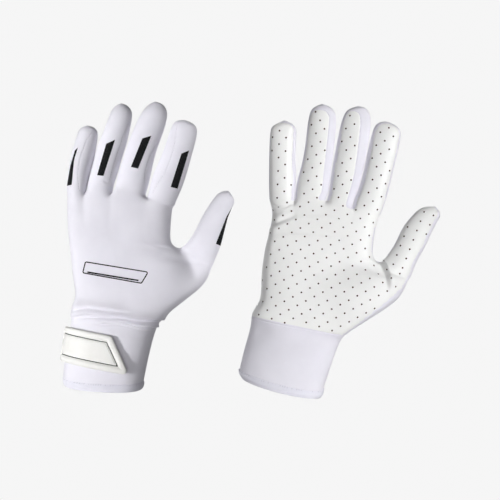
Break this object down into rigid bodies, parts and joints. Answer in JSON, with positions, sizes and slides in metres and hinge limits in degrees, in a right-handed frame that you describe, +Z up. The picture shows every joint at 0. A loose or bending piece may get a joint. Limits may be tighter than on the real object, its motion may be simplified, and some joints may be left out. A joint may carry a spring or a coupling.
{
  "type": "hockey gloves",
  "caption": "Pair of thin white stretch hockey gloves with perforated grip palms, bending finger stalls, knit cuffs and moulded wrist straps that open.",
  "frame": {"origin": "midway between the two cuff mouths, where the wearer's hands go in", "axes": "+Z up along the hands, +X across the pair from the left glove to the right one, +Y into the picture, so the left glove's back and the right glove's palm face -Y"},
  "size_m": [0.3406, 0.0592, 0.2653],
  "materials": {
    "white_knit": "smooth stretch knit, matt with a faint sheen",
    "perforated_palm": "smooth synthetic with rows of small punched holes",
    "strap_rubber": "satin moulded rubber",
    "hook_tape": "matt hook tape"
  },
  "bodies": {
    "hands": {"left_cuff": "white_knit", "left_cuff_hem": "white_knit", "left_hand_back": "white_knit", "left_hand_palm": "perforated_palm", "left_hook_patch": "hook_tape", "right_cuff": "white_knit", "right_cuff_hem": "white_knit", "right_hand_back": "white_knit", "right_hand_palm": "perforated_palm", "right_hook_patch": "hook_tape"},
    "left_little": {"left_little_back": "white_knit", "left_little_facing": "perforated_palm"},
    "left_ring": {"left_ring_back": "white_knit", "left_ring_facing": "perforated_palm"},
    "left_middle": {"left_middle_back": "white_knit", "left_middle_facing": "perforated_palm"},
    "left_index": {"left_index_back": "white_knit", "left_index_facing": "perforated_palm"},
    "left_thumb": {"left_thumb_back": "white_knit", "left_thumb_facing": "perforated_palm"},
    "left_strap": {"left_strap": "strap_rubber"},
    "right_little": {"right_little_back": "white_knit", "right_little_facing": "perforated_palm"},
    "right_ring": {"right_ring_back": "white_knit", "right_ring_facing": "perforated_palm"},
    "right_middle": {"right_middle_back": "white_knit", "right_middle_facing": "perforated_palm"},
    "right_index": {"right_index_back": "white_knit", "right_index_facing": "perforated_palm"},
    "right_thumb": {"right_thumb_back": "white_knit", "right_thumb_facing": "perforated_palm"},
    "right_strap": {"right_strap": "strap_rubber"}
  },
  "joints": [
    {"name": "left_little_flex", "type": "hinge", "parent": "hands", "child": "left_little", "pos_m": [-0.1052, 0.0095, 0.1757], "axis": [-0.9813, 0, 0.1925], "range_deg": [0, 75]},
    {"name": "left_ring_flex", "type": "hinge", "parent": "hands", "child": "left_ring", "pos_m": [-0.0837, 0.0095, 0.17554], "axis": [-0.9655, 0, 0.2605], "range_deg": [0, 75]},
    {"name": "left_middle_flex", "type": "hinge", "parent": "hands", "child": "left_middle", "pos_m": [-0.05639, 0.0095, 0.17538], "axis": [-0.9578, 0, 0.2874], "range_deg": [0, 75]},
    {"name": "left_index_flex", "type": "hinge", "parent": "hands", "child": "left_index", "pos_m": [-0.03033, 0.0095, 0.16529], "axis": [-0.9449, 0, 0.3272], "range_deg": [0, 75]},
    {"name": "left_thumb_flex", "type": "hinge", "parent": "hands", "child": "left_thumb", "pos_m": [0.00291, 0.0095, 0.1152], "axis": [-0.8949, 0, 0.4462], "range_deg": [0, 50]},
    {"name": "left_strap_open", "type": "hinge", "parent": "hands", "child": "left_strap", "pos_m": [-0.11411, -0.0031, 0.03737], "axis": [-0.2062, 0, -0.9785], "range_deg": [0, 105]},
    {"name": "right_little_flex", "type": "hinge", "parent": "hands", "child": "right_little", "pos_m": [0.0791, -0.0095, 0.16516], "axis": [0.9999, 0, -0.0105], "range_deg": [0, 75]},
    {"name": "right_ring_flex", "type": "hinge", "parent": "hands", "child": "right_ring", "pos_m": [0.10372, -0.0095, 0.16829], "axis": [0.9888, 0, -0.1495], "range_deg": [0, 75]},
    {"name": "right_middle_flex", "type": "hinge", "parent": "hands", "child": "right_middle", "pos_m": [0.12913, -0.0095, 0.16507], "axis": [0.9796, 0, -0.2011], "range_deg": [0, 75]},
    {"name": "right_index_flex", "type": "hinge", "parent": "hands", "child": "right_index", "pos_m": [0.15532, -0.0095, 0.15657], "axis": [0.9711, 0, -0.2385], "range_deg": [0, 75]},
    {"name": "right_thumb_flex", "type": "hinge", "parent": "hands", "child": "right_thumb", "pos_m": [0.18215, -0.0095, 0.10223], "axis": [0.8526, 0, -0.5225], "range_deg": [0, 50]},
    {"name": "right_strap_open", "type": "hinge", "parent": "hands", "child": "right_strap", "pos_m": [0.04704, 0.00309, 0.03426], "axis": [0.2368, 0, 0.9715], "range_deg": [0, 105]}
  ]
}
